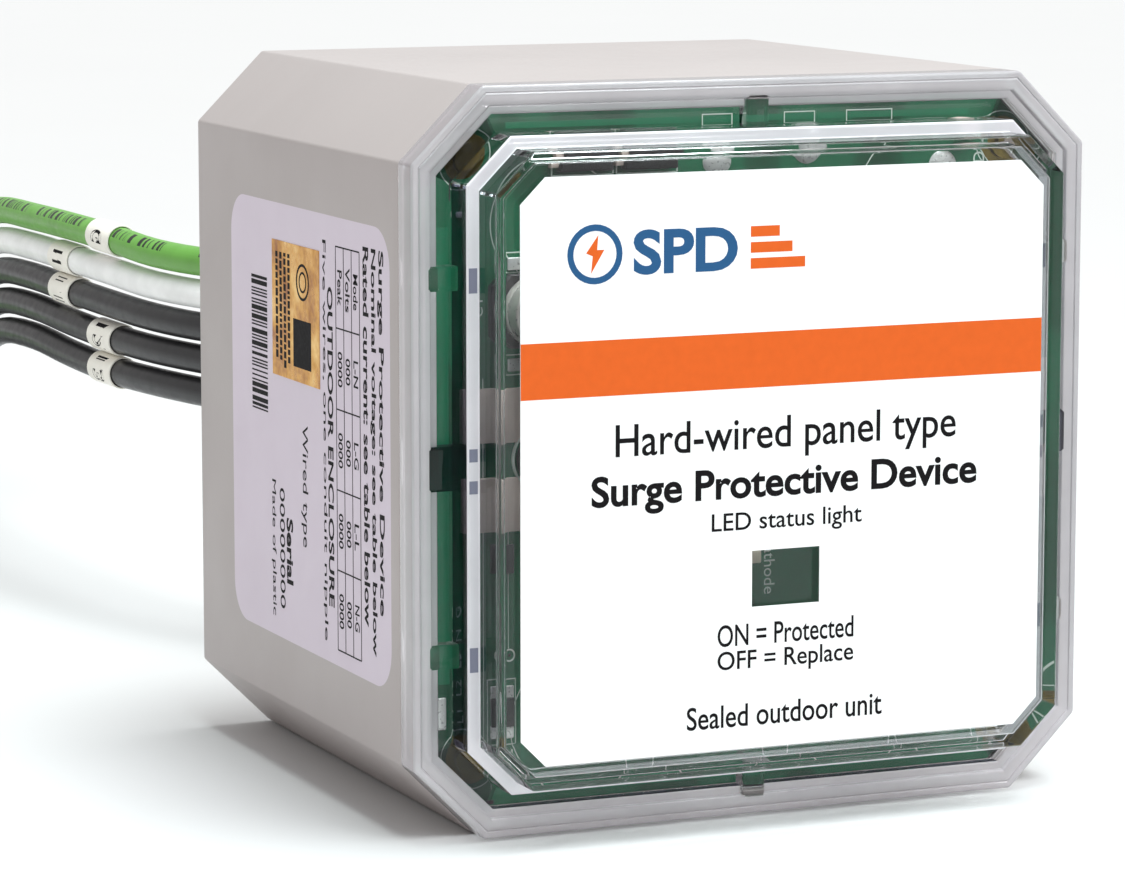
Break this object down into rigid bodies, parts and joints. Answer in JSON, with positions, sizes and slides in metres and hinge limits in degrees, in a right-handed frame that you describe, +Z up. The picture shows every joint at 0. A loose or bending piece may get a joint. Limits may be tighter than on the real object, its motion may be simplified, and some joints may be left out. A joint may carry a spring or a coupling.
{
  "type": "surge protective device",
  "caption": "Square grey box with chamfered edges, a clear stepped cover with a status window, varistor modules inside and insulated leads out of a threaded nipple at the back.",
  "frame": {"origin": "under the middle of the box, cover and nipple together, on the surface that the box stands on", "axes": "+Z up; the clear cover faces -Y and the nipple points along +Y; +X to the right seen from the front"},
  "size_m": [0.1786, 0.5061, 0.128],
  "materials": {
    "grey_plastic": "fine moulded satin",
    "clear_plastic": "clear polycarbonate",
    "seal_rubber": "soft matt",
    "label_film": "printed film",
    "foil": "embossed foil",
    "board_laminate": "solder mask over glass laminate",
    "brass": "dull plated",
    "aluminium_can": "drawn can",
    "tinned_copper": "dull tin",
    "black_plastic": "moulded",
    "module_plastic": "moulded",
    "varistor_epoxy": "dipped epoxy",
    "shield_plastic": "moulded",
    "spring_steel": "drawn wire",
    "zinc_steel": "zinc plated",
    "green_insulation": "extruded",
    "white_insulation": "extruded",
    "black_insulation": "extruded"
  },
  "bodies": {
    "housing": {"enclosure_body": "grey_plastic", "clear_cover": "clear_plastic", "cover_seal": "seal_rubber", "front_label": "label_film", "rating_label": "label_film", "foil_seal": "foil", "main_board": "board_laminate", "board_screws": "brass", "status_led": "label_film", "filter_capacitor": "aluminium_can", "bus_bars": "tinned_copper", "rectifier_packages": "black_plastic", "chip_resistors": "black_plastic", "spark_disc": "black_plastic", "lead_lugs": "tinned_copper", "inner_leads": "black_insulation", "varistor_housing_1": "module_plastic", "varistor_housing_2": "module_plastic", "varistor_housing_3": "module_plastic", "varistor_housing_4": "module_plastic", "varistor_disc_1": "varistor_epoxy", "varistor_disc_2": "varistor_epoxy", "varistor_disc_3": "varistor_epoxy", "varistor_disc_4": "varistor_epoxy", "shield_spring_1": "spring_steel", "shield_spring_2": "spring_steel", "shield_spring_3": "spring_steel", "shield_spring_4": "spring_steel", "contact_arms": "brass", "return_straps": "brass", "conduit_nipple": "zinc_steel", "lead_seal": "black_plastic", "sealing_ring": "seal_rubber", "ground_lead": "green_insulation", "neutral_lead": "white_insulation", "line_lead_1": "black_insulation", "line_lead_2": "black_insulation", "line_lead_3": "black_insulation", "ground_marker": "label_film", "neutral_marker": "label_film", "line_marker_1": "label_film", "line_marker_2": "label_film", "line_marker_3": "label_film", "lead_coil": "black_insulation"},
    "shield_1": {"arc_shield_1": "shield_plastic"},
    "shield_2": {"arc_shield_2": "shield_plastic"},
    "shield_3": {"arc_shield_3": "shield_plastic"},
    "shield_4": {"arc_shield_4": "shield_plastic"},
    "washer": {"steel_washer": "zinc_steel"},
    "nut": {"locknut": "zinc_steel"}
  },
  "joints": [
    {"name": "arc_shield_1_drop", "type": "slide", "parent": "housing", "child": "shield_1", "axis": [0, 0, -1], "range_m": [0, 0.009], "deforming": ["shield_spring_1"]},
    {"name": "arc_shield_2_drop", "type": "slide", "parent": "housing", "child": "shield_2", "axis": [0, 0, -1], "range_m": [0, 0.009], "deforming": ["shield_spring_2"]},
    {"name": "arc_shield_3_drop", "type": "slide", "parent": "housing", "child": "shield_3", "axis": [0, 0, -1], "range_m": [0, 0.009], "deforming": ["shield_spring_3"]},
    {"name": "arc_shield_4_drop", "type": "slide", "parent": "housing", "child": "shield_4", "axis": [0, 0, -1], "range_m": [0, 0.009], "deforming": ["shield_spring_4"]},
    {"name": "washer_slide", "type": "slide", "parent": "housing", "child": "washer", "axis": [0, 1, 0], "range_m": [0, 0.00907]},
    {"name": "locknut_turn", "type": "hinge", "parent": "washer", "child": "nut", "pos_m": [0, 0.0554, 0.064], "axis": [0, 1, 0], "range_deg": [0, 1800]}
  ],
  "couplings": [
    {"joint": "locknut_turn", "follows": "washer_slide", "rad_per_m": 3463.2}
  ]
}
